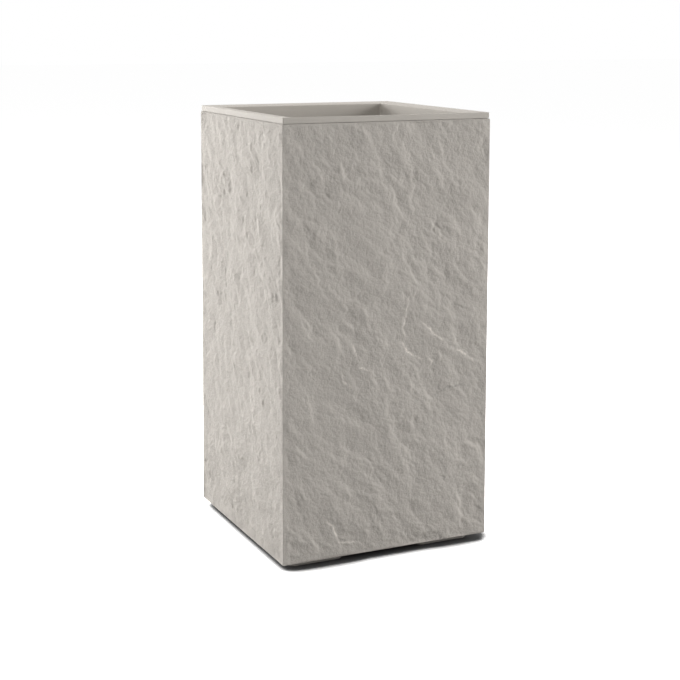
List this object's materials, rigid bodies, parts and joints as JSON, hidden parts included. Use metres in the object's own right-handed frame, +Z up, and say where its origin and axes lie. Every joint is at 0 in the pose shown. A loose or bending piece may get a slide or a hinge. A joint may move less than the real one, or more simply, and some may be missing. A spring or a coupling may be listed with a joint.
{
  "type": "tall fiberglass planter",
  "caption": "Tall square planter: stone-textured fibreglass shell on corner feet, with a lift-out liner whose smooth rim hangs on the shell.",
  "frame": {"origin": "on the floor, under the middle of the planter", "axes": "+Z up; -Y is the face that the picture shows nearly square on, -X the face at its left"},
  "size_m": [0.4136, 0.4136, 0.8],
  "materials": {
    "stone_fibreglass": "split-stone texture, matt warm grey",
    "smooth_fibreglass": "smooth, low sheen, warm grey",
    "moulded_fibreglass": "plain moulded, matt warm grey",
    "plug_rubber": "matt black",
    "screw_steel": "plain stainless"
  },
  "bodies": {
    "carcass": {"outer_shell": "stone_fibreglass", "base_panel": "moulded_fibreglass", "foot_front_left": "moulded_fibreglass", "foot_front_right": "moulded_fibreglass", "foot_back_left": "moulded_fibreglass", "foot_back_right": "moulded_fibreglass", "foot_screw_front_left_inner": "screw_steel", "foot_screw_front_left_outer": "screw_steel", "foot_screw_front_right_inner": "screw_steel", "foot_screw_front_right_outer": "screw_steel", "foot_screw_back_left_inner": "screw_steel", "foot_screw_back_left_outer": "screw_steel", "foot_screw_back_right_inner": "screw_steel", "foot_screw_back_right_outer": "screw_steel"},
    "liner_pot": {"liner": "smooth_fibreglass"},
    "base_plug": {"base_drain_plug": "plug_rubber"},
    "liner_plug": {"liner_drain_plug": "plug_rubber"}
  },
  "joints": [
    {"name": "liner_lift", "type": "slide", "parent": "carcass", "child": "liner_pot", "axis": [0, 0, 1], "range_m": [0, 0.42]},
    {"name": "base_plug_pull", "type": "slide", "parent": "carcass", "child": "base_plug", "axis": [0, 0, 1], "range_m": [0, 0.06]},
    {"name": "liner_plug_pull", "type": "slide", "parent": "liner_pot", "child": "liner_plug", "axis": [0, 0, 1], "range_m": [0, 0.06]}
  ]
}
